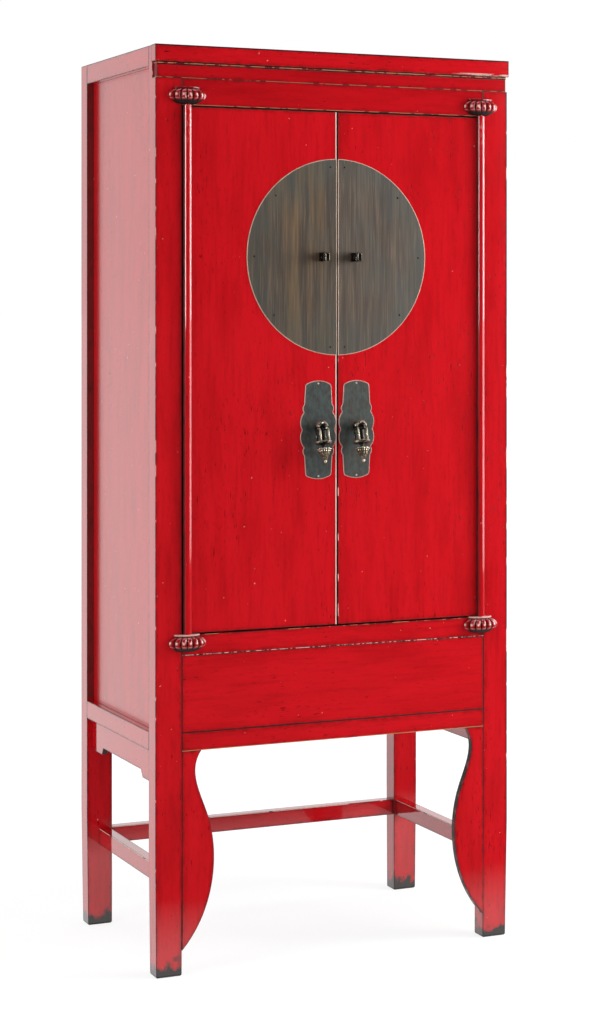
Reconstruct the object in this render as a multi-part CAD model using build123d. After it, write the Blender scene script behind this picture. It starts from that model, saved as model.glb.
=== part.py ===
from build123d import *
from math import ceil, cos, radians, sin
import os

# A tall two-door wedding cabinet on four straight legs, in red lacquer with brass fittings.
# Millimetres. +Z is up, +X is the right of someone facing the doors, and the doors face -Y.
# The origin is the bottom centre of the whole box, floor level, lock lugs included.

# ---- overall ----
width = 812.0
depth = 478.0
height = 1900.0

# ---- frame ----
post_width = 58.0
post_depth = 40.0
foot_taper = 3.0
foot_taper_height = 250.0
foot_round = 5.0
side_rail_thickness = 32.0
back_rail_thickness = 32.0
tenon_thickness = 12.0
tenon_length = 20.0
tenon_shoulder = 6.0
tenon_wall = 2.0

# ---- heights of the front, from the floor up and from the top down ----
leg_clear = 458.5
bottom_rail_height = 38.5
compartment_height = 157.0
sill_height = 42.0
door_gap = 3.0
cornice_upper_height = 35.0
cornice_lower_height = 32.0
top_rail_height = 55.0
side_top_rail_height = 42.0

# ---- cornice ----
cornice_reach = 5.0
cornice_overhang = 2.0
cornice_seat = 19.0
cornice_lower_setback = 1.0
cornice_lower_inset = 3.0
cornice_bead_radius = 2.5

# ---- panels ----
side_panel_recess = 15.0
side_panel_thickness = 10.0
tongue = 6.0
compartment_panel_thickness = 16.0
compartment_tongue_thickness = 6.0
back_panel_thickness = 8.0
back_panel_recess = 12.0
top_panel_thickness = 12.0
batten_width = 30.0
batten_thickness = 18.0

# ---- legs' dressing ----
bracket_thickness = 14.0
bracket_top_width = 42.0
bracket_waist_width = 30.0
bracket_waist_drop = 28.0
bracket_shoulder_width = 55.0
bracket_shoulder_drop = 130.0
bracket_belly_width = 70.0
bracket_belly_drop = 220.0
bracket_calf_width = 50.0
bracket_calf_drop = 327.0
bracket_drop = 406.0
apron_recess = 11.0
apron_thickness = 12.0
apron_height = 54.0
apron_drop = 15.0
apron_drop_length = 69.0
apron_step_run = 10.0
stretcher_thickness = 24.0
stretcher_height = 35.0
stretcher_top = 212.0
side_stretcher_inset = 29.0
rear_stretcher_inset = 10.0

# ---- inside ----
board_thickness = 15.0
board_play = 1.0
cleat_width = 16.0
cleat_height = 18.0
lower_shelf_rise = 360.0
upper_shelf_rise = 720.0
finger_hole_radius = 13.0
finger_hole_inset = 45.0
stop_height = 15.0
stop_thickness = 14.0
stop_play = 0.5

# ---- doors ----
leaf_thickness = 20.0
leaf_post_gap = 2.0
meeting_gap = 3.0
rod_radius = 8.5
rod_reach = 5.0
rod_post_gap = 1.0
pin_radius = 3.5
pin_length = 15.0
pin_clearance = 0.05
pin_end_gap = 1.0
seat_gap = 0.3
lower_block_gap = 1.0
upper_block_gap = 5.0
door_batten_width = 40.0
door_batten_thickness = 12.0
door_batten_inset = 150.0
door_batten_margin = 18.0

# ---- pivot blocks ----
pivot_block_half_width = 41.5
pivot_block_reach = 24.0
pivot_block_height = 35.0
pivot_block_lobes = 7
lobe_radius = 9.0
lobe_height = 25.0
pivot_block_rim_inset = 2.5
pivot_core_inset = 7.0

# ---- fittings ----
plate_thickness = 1.5
moon_radius = 206.0
moon_drop = 304.5
lug_offset = 37.0
lug_width = 11.0
lug_height = 19.0
lug_block_length = 24.0
lug_eye_radius = 4.0
lug_eye_reach = 16.5
lug_groove_length = 2.0
lug_groove_depth = 1.5
lug_cap_length = 8.5
lug_rounding = 4.0
tang_size = 5.0
tang_length = 12.0
pull_plate_offset = 44.0
pull_plate_drop = 362.0
pull_plate_half_height = 103.0
pull_plate_arch = 8.0
pull_plate_corner_radius = 7.0
pull_plate_waist_width = 37.0
pull_plate_lobe_width = 41.0
pull_plate_notch_width = 33.0
pull_plate_notch_rise = 37.0
pull_plate_cusp_width = 35.5
pull_plate_cusp_rise = 46.5
pull_plate_shoulder_width = 32.0
pull_plate_shoulder_rise = 53.5
pull_plate_end_width = 29.5
nail_head_radius = 2.2
nail_top_radius = 1.1
nail_head_height = 1.2
nail_shank_radius = 0.8
nail_shank_length = 9.0
moon_nail_inset = 16.5
pull_nail_inset = 6.0
moon_nail_angles = 5, 48, 90, 130, 175

# ---- pulls ----
pull_gap = 1.0
pull_rise = 6.0
pull_lean = 15.0
eye_radius = 5.0
eye_thickness = 6.0
eye_shank_height = 7.0
eye_play = 0.3
rosette_radius = 8.0
rosette_thickness = 1.0
pull_pin_radius = 1.6
hood_radius = 15.0
hood_skirt = 7.5
lantern_half_width = 12.0
lantern_corner_radius = 14.0
lantern_height = 24.0
column_width = 4.5
saucer_radius = 18.5
saucer_thickness = 5.0
pull_neck_radius = 6.0
pull_neck_height = 9.5
basket_radius = 15.0
basket_rim = 2.5
basket_height = 21.5
basket_tip_radius = 3.0
finial_radius = 3.3
finial_sink = 1.0

# ---- places worked out from the sizes above ----
half = width / 2
inner = half - post_width
lug_length = lug_block_length + lug_groove_length + lug_cap_length
lean_sine = sin(radians(pull_lean))
lean_cosine = cos(radians(pull_lean))
lantern_drop = hood_skirt + lantern_height
saucer_drop = lantern_drop + saucer_thickness
neck_drop = saucer_drop + pull_neck_height
rim_drop = neck_drop + basket_rim
basket_drop = rim_drop + basket_height
saucer_behind = saucer_radius * lean_cosine - lantern_drop * lean_sine
basket_behind = basket_radius * lean_cosine - neck_drop * lean_sine
pull_room = max(hood_radius + rosette_thickness, saucer_behind, basket_behind) + pull_gap
saucer_ahead = saucer_radius * lean_cosine + saucer_drop * lean_sine
basket_ahead = basket_radius * lean_cosine + rim_drop * lean_sine
foremost = max(lug_length, pull_room + saucer_ahead, pull_room + basket_ahead)
front_reach = ceil(2 * foremost) / 2 + plate_thickness
pull_reach = pull_room + front_reach - plate_thickness - foremost
front = (front_reach - depth) / 2
back = front + depth
front_post_back = front + post_depth
rear_post_front = back - post_depth
back_rail_front = back - back_rail_thickness
rail_depth = post_depth
inside_front = front + rail_depth
inside_back = back - max(post_depth, back_rail_thickness)

bottom_rail_top = leg_clear + bottom_rail_height
sill_bottom = bottom_rail_top + compartment_height
sill_top = sill_bottom + sill_height
door_bottom = sill_top + door_gap
cornice_split = height - cornice_upper_height
cornice_bottom = cornice_split - cornice_lower_height
top_rail_bottom = cornice_bottom - top_rail_height
door_top = top_rail_bottom - door_gap
side_rail_bottom = height - side_top_rail_height
side_rail_inner = half - side_rail_thickness
side_panel_outer = half - side_panel_recess
side_panel_inner = side_panel_outer - side_panel_thickness
back_panel_back = back - back_panel_recess
back_panel_front = back_panel_back - back_panel_thickness
top_panel_bottom = height - top_panel_thickness
lid_top = sill_top - board_play
lid_bottom = lid_top - board_thickness
lower_shelf_top = door_bottom + lower_shelf_rise
upper_shelf_top = door_bottom + upper_shelf_rise

leaf_outer = inner - leaf_post_gap
leaf_inner = meeting_gap / 2
leaf_back = front + leaf_thickness
rod_x = inner - rod_post_gap - rod_radius
rod_y = front - rod_reach
lower_block_top = door_bottom - lower_block_gap
upper_block_bottom = door_top + upper_block_gap
plate_face = front - plate_thickness
moon_z = door_top - moon_drop
pull_plate_z = moon_z - pull_plate_drop
pull_y = plate_face - pull_reach
pull_z = pull_plate_z + pull_rise


def block(x0, x1, y0, y1, z0, z1):
    """A box between two corners."""
    return Pos((x0 + x1) / 2, (y0 + y1) / 2, (z0 + z1) / 2) * Box(x1 - x0, y1 - y0, z1 - z0)


def upright(radius, z0, z1):
    """An upright cylinder on the Z axis, between two heights."""
    return Pos(0, 0, z0) * Cylinder(radius, z1 - z0, align=(Align.CENTER, Align.CENTER, Align.MIN))


def forward(radius, y0, y1):
    """A cylinder on the Y axis, from y0 back to y1."""
    return Pos(0, y1, 0) * Rot(90, 0, 0) * Cylinder(radius, y1 - y0,
                                                    align=(Align.CENTER, Align.CENTER, Align.MIN))


def crosswise(radius, length):
    """A cylinder on the X axis, centred on the origin."""
    return Rot(0, 90, 0) * Cylinder(radius, length)


def flip(solid):
    """The same piece for the right side."""
    return mirror(solid, about=Plane.YZ)


def cut(solid, tools):
    """A piece with the room for its neighbours' tenons and tongues taken out."""
    for tool in tools:
        solid = solid - tool
    return solid


def cross_tenon(y0, y1, z0, z1, length=tenon_length):
    """The tenons of a left-to-right rail, as one bar through both posts."""
    middle = (y0 + y1) / 2
    half_thickness = tenon_thickness / 2
    return block(-inner - length, inner + length, middle - half_thickness, middle + half_thickness,
                 z0 + tenon_shoulder, z1 - tenon_shoulder)


def side_tenon(x0, x1, z0, z1, length=tenon_length):
    """The tenons of a front-to-back rail on the left, as one bar through both posts."""
    middle = (x0 + x1) / 2
    half_thickness = tenon_thickness / 2
    return block(middle - half_thickness, middle + half_thickness, front_post_back - length,
                 rear_post_front + length, z0 + tenon_shoulder, z1 - tenon_shoulder)


# ---- tenons and tongues, shared by each piece and the piece that it enters ----
top_rail_tenon = cross_tenon(front, front + rail_depth, top_rail_bottom, cornice_bottom)
sill_tenon = cross_tenon(front, front + rail_depth, sill_bottom, sill_top)
bottom_rail_tenon = cross_tenon(front, front + rail_depth, leg_clear, bottom_rail_top)
rear_top_tenon = cross_tenon(back_rail_front, back, side_rail_bottom, height)
rear_sill_tenon = cross_tenon(back_rail_front, back, sill_bottom, sill_top)
rear_bottom_tenon = cross_tenon(back_rail_front, back, leg_clear, bottom_rail_top)
stretcher_bottom = stretcher_top - stretcher_height
rear_stretcher_back = back - rear_stretcher_inset
rear_stretcher_front = rear_stretcher_back - stretcher_thickness
rear_stretcher_tenon = cross_tenon(rear_stretcher_front, rear_stretcher_back, stretcher_bottom, stretcher_top)
side_top_tenon = side_tenon(-half, -side_rail_inner, side_rail_bottom, height,
                            post_depth - cornice_seat - tenon_wall)
side_bottom_tenon = side_tenon(-half, -side_rail_inner, leg_clear, bottom_rail_top)
stretcher_outer = half - side_stretcher_inset
stretcher_inner = stretcher_outer - stretcher_thickness
rear_stretcher_tenon_front = (rear_stretcher_front + rear_stretcher_back - tenon_thickness) / 2
side_stretcher_tenon = side_tenon(-stretcher_outer, -stretcher_inner, stretcher_bottom, stretcher_top,
                                  rear_stretcher_tenon_front - tenon_wall - rear_post_front)
side_panel_sheet = block(-side_panel_outer, -side_panel_inner, front_post_back - tongue,
                         rear_post_front + tongue, bottom_rail_top - tongue, side_rail_bottom + tongue)
upper_back_sheet = block(-inner - tongue, inner + tongue, back_panel_front, back_panel_back,
                         sill_top - tongue, side_rail_bottom + tongue)
lower_back_sheet = block(-inner - tongue, inner + tongue, back_panel_front, back_panel_back,
                         bottom_rail_top - tongue, sill_bottom + tongue)
compartment_tongue_front = front + (compartment_panel_thickness - compartment_tongue_thickness) / 2
compartment_tongue = block(-inner - tongue, inner + tongue, compartment_tongue_front,
                           compartment_tongue_front + compartment_tongue_thickness,
                           bottom_rail_top - tongue, sill_bottom + tongue)


def leg_blank(y0, y1, outer_face_y, inward):
    """A left post from floor to top, tapered a little on its outer faces near the floor."""
    side_outline = Polyline((-half + foot_taper, 0), (-half, foot_taper_height), (-half, height),
                            (-inner, height), (-inner, 0), close=True)
    side_profile = extrude(make_face(Plane.XZ * side_outline), amount=depth, both=True)
    far_y = y0 if outer_face_y == y1 else y1
    front_outline = Polyline((outer_face_y + inward * foot_taper, 0), (outer_face_y, foot_taper_height),
                             (outer_face_y, height), (far_y, height), (far_y, 0), close=True)
    front_profile = extrude(make_face(Plane.YZ * front_outline), amount=width, both=True)
    post = side_profile & front_profile
    return fillet(post.edges().group_by(Axis.Z)[0], foot_round)


def front_post():
    """The left front post, notched at the top for the cornice."""
    post = leg_blank(front, front_post_back, front, 1)
    seat = block(-half - 1, -inner + 1, front - 1, front + cornice_seat, cornice_bottom, height + 1)
    return cut(post, [seat, top_rail_tenon, sill_tenon, bottom_rail_tenon, side_top_tenon,
                      side_bottom_tenon, side_stretcher_tenon, side_panel_sheet, compartment_tongue])


def rear_post():
    """The left rear post."""
    post = leg_blank(rear_post_front, back, back, -1)
    return cut(post, [rear_top_tenon, rear_sill_tenon, rear_bottom_tenon, rear_stretcher_tenon,
                      side_top_tenon, side_bottom_tenon, side_stretcher_tenon, side_panel_sheet,
                      upper_back_sheet, lower_back_sheet])


def cornice_upper_band():
    """The top board of the cornice, standing a little proud of the posts."""
    reach = half + cornice_overhang
    return block(-reach, reach, front - cornice_reach, front + cornice_seat, cornice_split, height)


def cornice_lower_band():
    """The set-back board under it, with a small bead along its top edge."""
    reach = half - cornice_lower_inset
    face = front + cornice_lower_setback
    board = block(-reach, reach, face, front + cornice_seat, cornice_bottom, cornice_split)
    bead_z = cornice_split - cornice_bead_radius
    return board + Pos(0, face, bead_z) * crosswise(cornice_bead_radius, 2 * reach)


def front_top_rail():
    """The rail over the doors, rising behind the cornice to carry the top panel."""
    rail = block(-inner, inner, front, front + rail_depth, top_rail_bottom, cornice_bottom)
    riser = block(-inner, inner, front + cornice_seat, front + rail_depth, cornice_bottom, top_panel_bottom)
    return rail + riser + top_rail_tenon


def sill_rail():
    """The rail under the doors."""
    rail = block(-inner, inner, front, front + rail_depth, sill_bottom, sill_top) + sill_tenon
    return rail - compartment_tongue


def front_bottom_rail():
    """The lowest front rail."""
    rail = block(-inner, inner, front, front + rail_depth, leg_clear, bottom_rail_top)
    return rail + bottom_rail_tenon - compartment_tongue


def compartment_panel():
    """The fixed board in front of the hidden compartment, flush with its frame."""
    return block(-inner, inner, front, front + compartment_panel_thickness,
                 bottom_rail_top, sill_bottom) + compartment_tongue


def bracket():
    """The left front bracket: an S-curved board in the corner of the leg and the bottom rail."""
    def at(reach, drop):
        return (-inner + reach, leg_clear - drop)
    free_edge = Spline(at(bracket_top_width, 0), at(bracket_waist_width, bracket_waist_drop),
                       at(bracket_shoulder_width, bracket_shoulder_drop),
                       at(bracket_belly_width, bracket_belly_drop),
                       at(bracket_calf_width, bracket_calf_drop), at(0, bracket_drop))
    leg_edge = Polyline(at(0, bracket_drop), at(0, 0), at(bracket_top_width, 0))
    outline = make_face(Plane.XZ * Wire([*free_edge.edges(), *leg_edge.edges()]))
    return Pos(0, front, 0) * extrude(outline, amount=bracket_thickness, dir=(0, 1, 0))


def side_top_rail():
    """The left top rail."""
    rail = block(-half, -side_rail_inner, front_post_back, rear_post_front, side_rail_bottom, height)
    return rail + side_top_tenon - side_panel_sheet


def side_bottom_rail():
    """The left bottom rail."""
    rail = block(-half, -side_rail_inner, front_post_back, rear_post_front, leg_clear, bottom_rail_top)
    return rail + side_bottom_tenon - side_panel_sheet


def apron():
    """The left apron under the bottom rail, with a stepped drop at each end."""
    low = leg_clear - apron_height
    drop = low - apron_drop
    ends = front_post_back, rear_post_front
    outline = Polyline((ends[0], leg_clear), (ends[0], drop), (ends[0] + apron_drop_length, drop),
                       (ends[0] + apron_drop_length + apron_step_run, low),
                       (ends[1] - apron_drop_length - apron_step_run, low),
                       (ends[1] - apron_drop_length, drop), (ends[1], drop), (ends[1], leg_clear),
                       close=True)
    board = extrude(make_face(Plane.YZ * outline), amount=apron_thickness, dir=(1, 0, 0))
    return Pos(-half + apron_recess, 0, 0) * board


def side_stretcher():
    """The left stretcher between the legs."""
    bar = block(-stretcher_outer, -stretcher_inner, front_post_back, rear_post_front,
                stretcher_bottom, stretcher_top)
    return bar + side_stretcher_tenon


def rear_stretcher():
    """The stretcher between the rear legs."""
    bar = block(-inner, inner, rear_stretcher_front, rear_stretcher_back, stretcher_bottom, stretcher_top)
    return bar + rear_stretcher_tenon


def rear_rail(z0, z1, tenon):
    """A rail of the back, grooved for the back panels."""
    rail = block(-inner, inner, back_rail_front, back, z0, z1) + tenon
    return cut(rail, [upper_back_sheet, lower_back_sheet])


def top_panel():
    """The flush board in the top frame, notched round the posts."""
    middle = block(-side_rail_inner, side_rail_inner, front_post_back, rear_post_front,
                   top_panel_bottom, height)
    ends = block(-inner, inner, front + cornice_seat, back_rail_front, top_panel_bottom, height)
    return middle + ends


def top_battens():
    """Two battens under the top panel, from the front rail to the rear rail."""
    places = -inner / 2, inner / 2
    return [block(x - batten_width / 2, x + batten_width / 2, front + rail_depth, back_rail_front,
                  top_panel_bottom - batten_thickness, top_panel_bottom) for x in places]


def bottom_board():
    """The floor of the hidden compartment, notched round the posts."""
    low = bottom_rail_top - board_thickness
    middle = block(-side_rail_inner, side_rail_inner, inside_front, inside_back, low, bottom_rail_top)
    ends = block(-inner, inner, front + rail_depth, back_rail_front, low, bottom_rail_top)
    return middle + ends


def bottom_cleats():
    """Cleats on the front and rear bottom rails that carry the bottom board."""
    low = bottom_rail_top - board_thickness
    span = (-inner, inner)
    front_cleat = block(*span, front + rail_depth, front + rail_depth + cleat_width, low - cleat_height, low)
    rear_cleat = block(*span, back_rail_front - cleat_width, back_rail_front, low - cleat_height, low)
    return [front_cleat, rear_cleat]


def lid_bearers():
    """A front, a rear and a middle bearer that carry the two lift-out floor boards."""
    low = lid_bottom - cleat_height
    front_line = front + rail_depth + cleat_width
    rear_line = back_rail_front - cleat_width
    front_bearer = block(-inner, inner, front + rail_depth, front_line, low, lid_bottom)
    rear_bearer = block(-inner, inner, rear_line, back_rail_front, low, lid_bottom)
    middle_bearer = block(-batten_width / 2, batten_width / 2, front_line, rear_line, low, lid_bottom)
    return [front_bearer, rear_bearer, middle_bearer]


def lid():
    """The left lift-out floor board over the hidden compartment, with a finger hole."""
    board = block(-side_panel_inner + board_play, -board_play / 2, inside_front + board_play,
                  inside_back - board_play, lid_bottom, lid_top)
    hole_x = -board_play / 2 - finger_hole_inset
    hole = upright(finger_hole_radius, lid_bottom - board_play, lid_top + board_play)
    return board - Pos(hole_x, (front + back) / 2, 0) * hole


def shelf(z):
    """A shelf whose top is at z, notched round the posts."""
    middle = block(-side_panel_inner, side_panel_inner, front_post_back, rear_post_front,
                   z - board_thickness, z)
    tail = block(-inner, inner, rear_post_front, back_panel_front, z - board_thickness, z)
    return middle + tail


def shelf_cleats(z):
    """The pair of side cleats under a shelf whose top is at z."""
    top = z - board_thickness
    left = block(-side_panel_inner, -side_panel_inner + cleat_width, front_post_back,
                 rear_post_front, top - cleat_height, top)
    return [left, flip(left)]


def door_stop():
    """The strip under the top rail that the closed doors stop against, short of their turning edges."""
    face = leaf_back + stop_play
    reach = rod_x - rod_radius
    return block(-reach, reach, face, face + stop_thickness, top_rail_bottom - stop_height, top_rail_bottom)


def pivot_block(socket_from_top):
    """A carved block, lobed like a melon between two rims, that holds one end of the left pivot rod."""
    path = (pivot_block_half_width - lobe_radius, pivot_block_reach - lobe_radius)
    angles = [radians(180 + 180 * n / (pivot_block_lobes - 1)) for n in range(pivot_block_lobes)]

    def tier(inset, low, high):
        outline = Ellipse(pivot_block_half_width - pivot_core_inset - inset,
                          pivot_block_reach - pivot_core_inset - inset)
        for angle in angles:
            outline += Pos(path[0] * cos(angle), path[1] * sin(angle)) * Circle(lobe_radius - inset)
        return Pos(0, 0, low) * extrude(outline, amount=high - low)
    tall = pivot_block_height
    rim_height = (tall - lobe_height) / 2
    solid = tier(0, rim_height, tall - rim_height) + tier(pivot_block_rim_inset, 0, tall)
    room = pivot_block_half_width * 2
    solid = solid & block(-room, room, -room, 0, 0, tall)
    depth_in_block = pin_length - seat_gap + pin_end_gap
    low, high = (tall - depth_in_block, tall) if socket_from_top else (0, depth_in_block)
    return solid - Pos(0, -rod_reach, 0) * upright(pin_radius + pin_clearance, low, high)


def lower_pivot_block():
    """The left lower block, on the sill rail and the post."""
    return Pos(-rod_x, front, lower_block_top - pivot_block_height) * pivot_block(True)


def upper_pivot_block():
    """The left upper block, on the top rail and the post."""
    return Pos(-rod_x, front, upper_block_bottom) * pivot_block(False)


def tang(x, z):
    """The square tail of a fitting, through the plate and into the leaf."""
    size = tang_size / 2
    return block(x - size, x + size, plate_face, front + tang_length, z - size, z + size)


def nails(spots):
    """Small dome-headed nails at the given places on the plates."""
    shank = forward(nail_shank_radius, plate_face, plate_face + nail_shank_length)
    head = Pos(0, plate_face, 0) * Rot(90, 0, 0) * Cone(
        nail_head_radius, nail_top_radius, nail_head_height, align=(Align.CENTER, Align.CENTER, Align.MIN))
    return [Pos(x, 0, z) * (head + shank) for x, z in spots]


def door_leaf():
    """The left door board, with the square holes for the fittings' tails."""
    leaf = block(-leaf_outer, -leaf_inner, front, leaf_back, door_bottom, door_top)
    return cut(leaf, [tang(-lug_offset, moon_z), tang(-pull_plate_offset, pull_z)])


def door_battens():
    """Two battens across the back of the left leaf."""
    places = door_bottom + door_batten_inset, door_top - door_batten_inset
    return [block(-leaf_outer + door_batten_margin, -leaf_inner - door_batten_margin, leaf_back,
                  leaf_back + door_batten_thickness, z - door_batten_width / 2,
                  z + door_batten_width / 2) for z in places]


def pivot_rod():
    """The round stile on the outer edge of the left leaf, with a turned pin at each end."""
    low = lower_block_top + seat_gap
    high = top_rail_bottom - seat_gap
    rod = upright(rod_radius, low, high)
    rod = rod - block(-rod_radius, rod_radius, rod_reach, rod_reach + rod_radius, low, high)
    pins = upright(pin_radius, low - pin_length, upper_block_bottom - seat_gap + pin_length)
    return Pos(-rod_x, rod_y, 0) * (rod + pins)


def moon_plate():
    """The left half of the round plate."""
    disc = Pos(0, 0, moon_z) * forward(moon_radius, plate_face, front)
    left_half = block(-moon_radius, -leaf_inner, plate_face, front,
                      moon_z - moon_radius, moon_z + moon_radius)
    return (disc & left_half) - tang(-lug_offset, moon_z)


def lock_lug():
    """The left lock lug: a bar with an eye for a lock bar, a groove and a rounded cap."""
    def length_of_bar(near, far, inset):
        half_width = lug_width / 2 - inset
        half_height = lug_height / 2 - inset
        return block(-half_width, half_width, plate_face - far, plate_face - near, -half_height, half_height)
    groove_end = lug_block_length + lug_groove_length
    bar = length_of_bar(0, lug_block_length, 0)
    bar = bar + length_of_bar(lug_block_length, groove_end, lug_groove_depth)
    cap = length_of_bar(groove_end, lug_length, 0)
    cap = fillet(cap.edges().group_by(Axis.Y)[0], lug_rounding)
    eye = Pos(0, plate_face - lug_eye_reach, 0) * crosswise(lug_eye_radius, 2 * lug_width)
    return Pos(-lug_offset, 0, moon_z) * (bar + cap - eye) + tang(-lug_offset, moon_z)


def pull_plate():
    """The left pull's plate: lobed sides and arched ends."""
    corner_rise = pull_plate_half_height - pull_plate_arch
    edges = []
    for up in (1, -1):
        for side in (1, -1):
            waist = (side * pull_plate_waist_width, 0)
            lobe = (side * pull_plate_lobe_width, up * pull_plate_notch_rise / 2)
            notch = (side * pull_plate_notch_width, up * pull_plate_notch_rise)
            cusp = (side * pull_plate_cusp_width, up * pull_plate_cusp_rise)
            shoulder = (side * pull_plate_shoulder_width, up * pull_plate_shoulder_rise)
            edges += ThreePointArc(waist, lobe, notch).edges()
            edges += ThreePointArc(notch, cusp, shoulder).edges()
            edges += Line(shoulder, (side * pull_plate_end_width, up * corner_rise)).edges()
        edges += ThreePointArc((-pull_plate_end_width, up * corner_rise), (0, up * pull_plate_half_height),
                               (pull_plate_end_width, up * corner_rise)).edges()
    outline = make_face(Wire(edges))
    corners = [v for v in outline.vertices() if abs(abs(v.X) - pull_plate_end_width) < 0.01]
    outline = fillet(corners, pull_plate_corner_radius)
    plate = extrude(Plane.XZ * outline, amount=plate_thickness, dir=(0, -1, 0))
    return Pos(-pull_plate_offset, front, pull_plate_z) * plate - tang(-pull_plate_offset, pull_z)


def door_nails():
    """The left door's nails: five round the half moon and two on the pull's plate."""
    ring = moon_radius - moon_nail_inset
    spots = [(-ring * sin(radians(angle)), moon_z + ring * cos(radians(angle))) for angle in moon_nail_angles]
    end = pull_plate_half_height - pull_nail_inset
    spots += [(-pull_plate_offset, pull_plate_z + end), (-pull_plate_offset, pull_plate_z - end)]
    return nails(spots)


def pull_post():
    """The left pull's post: rosette, shank and an eye with a cross hole."""
    x = -pull_plate_offset
    rosette = Pos(x, 0, pull_z) * forward(rosette_radius, plate_face - rosette_thickness, plate_face)
    shank = block(x - eye_thickness / 2, x + eye_thickness / 2, pull_y, plate_face,
                  pull_z - eye_shank_height / 2, pull_z + eye_shank_height / 2)
    eye = Pos(x, pull_y, pull_z) * crosswise(eye_radius, eye_thickness)
    hole = Pos(x, pull_y, pull_z) * crosswise(pull_pin_radius + pin_clearance, 2 * eye_thickness)
    return rosette + shank + eye + tang(x, pull_z) - hole


def pull_drop():
    """The left hanging pull: hood with its pin, open lantern, saucer, basket and finial.

    It leans out a little at its lower end, because its hood hangs close to the plate.
    """
    dome = Sphere(hood_radius) & block(-hood_radius, hood_radius, -hood_radius, hood_radius, 0, hood_radius)
    hood = dome + upright(hood_radius, -hood_skirt, 0)
    wide = lantern_half_width
    window = lantern_half_width - column_width
    lantern = block(-wide, wide, -wide, wide, -lantern_drop, -hood_skirt)
    lantern = lantern & upright(lantern_corner_radius, -lantern_drop, -hood_skirt)
    lantern = lantern - block(-window, window, -wide, wide, -lantern_drop, -hood_skirt)
    lantern = lantern - block(-wide, wide, -window, window, -lantern_drop, -hood_skirt)
    saucer = upright(saucer_radius, -saucer_drop, -lantern_drop)
    neck = upright(pull_neck_radius, -neck_drop, -saucer_drop)
    rim = upright(basket_radius, -rim_drop, -neck_drop)
    basket = Pos(0, 0, -basket_drop) * Cone(basket_tip_radius, basket_radius, basket_height,
                                            align=(Align.CENTER, Align.CENTER, Align.MIN))
    finial = Pos(0, 0, finial_sink - finial_radius - basket_drop) * Sphere(finial_radius)
    body = hood + lantern + saucer + neck + rim + basket + finial
    slot_half = eye_thickness / 2 + eye_play
    slot_low = -eye_shank_height / 2 - eye_play
    slot = block(-slot_half, slot_half, slot_low, hood_radius, slot_low, hood_radius)
    slot = slot + crosswise(eye_radius + eye_play, 2 * slot_half)
    pin = crosswise(pull_pin_radius, 2 * slot_half + 2 * pull_pin_radius)
    return Pos(-pull_plate_offset, pull_y, pull_z) * Rot(-pull_lean, 0, 0) * (body - slot + pin)


def write(name, shape):
    """Write one node, either one solid or a group of solids."""
    if isinstance(shape, list):
        shape = Compound(children=[piece.solid() for piece in shape])
    export_step(shape, os.path.join("parts", name + ".step"))


def write_pair(name, shape):
    """Write a left piece and its mirror image on the right."""
    write("left_" + name, shape)
    write("right_" + name, [flip(piece) for piece in shape] if isinstance(shape, list) else flip(shape))


os.makedirs("parts", exist_ok=True)
for name, make in {"front_post": front_post, "rear_post": rear_post, "bracket": bracket,
                   "top_rail": side_top_rail, "bottom_rail": side_bottom_rail, "apron": apron,
                   "stretcher": side_stretcher, "upper_pivot_block": upper_pivot_block,
                   "lower_pivot_block": lower_pivot_block, "door_leaf": door_leaf,
                   "door_battens": door_battens, "pivot_rod": pivot_rod, "moon_plate": moon_plate,
                   "lock_lug": lock_lug, "pull_plate": pull_plate, "pull_post": pull_post,
                   "door_nails": door_nails, "pull_drop": pull_drop, "floor_board": lid}.items():
    write_pair(name, make())
write_pair("side_panel", side_panel_sheet)
write("cornice_upper_band", cornice_upper_band())
write("cornice_lower_band", cornice_lower_band())
write("front_top_rail", front_top_rail())
write("sill_rail", sill_rail())
write("compartment_panel", compartment_panel())
write("front_bottom_rail", front_bottom_rail())
write("rear_top_rail", rear_rail(side_rail_bottom, height, rear_top_tenon))
write("rear_sill_rail", rear_rail(sill_bottom, sill_top, rear_sill_tenon))
write("rear_bottom_rail", rear_rail(leg_clear, bottom_rail_top, rear_bottom_tenon))
write("rear_stretcher", rear_stretcher())
write("upper_back_panel", upper_back_sheet)
write("lower_back_panel", lower_back_sheet)
write("top_panel", top_panel())
write("top_battens", top_battens())
write("bottom_board", bottom_board())
write("lid_bearers", lid_bearers())
write("lower_shelf", shelf(lower_shelf_top))
write("upper_shelf", shelf(upper_shelf_top))
write("cleats", bottom_cleats() + shelf_cleats(lower_shelf_top) + shelf_cleats(upper_shelf_top))
write("door_stop", door_stop())
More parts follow.
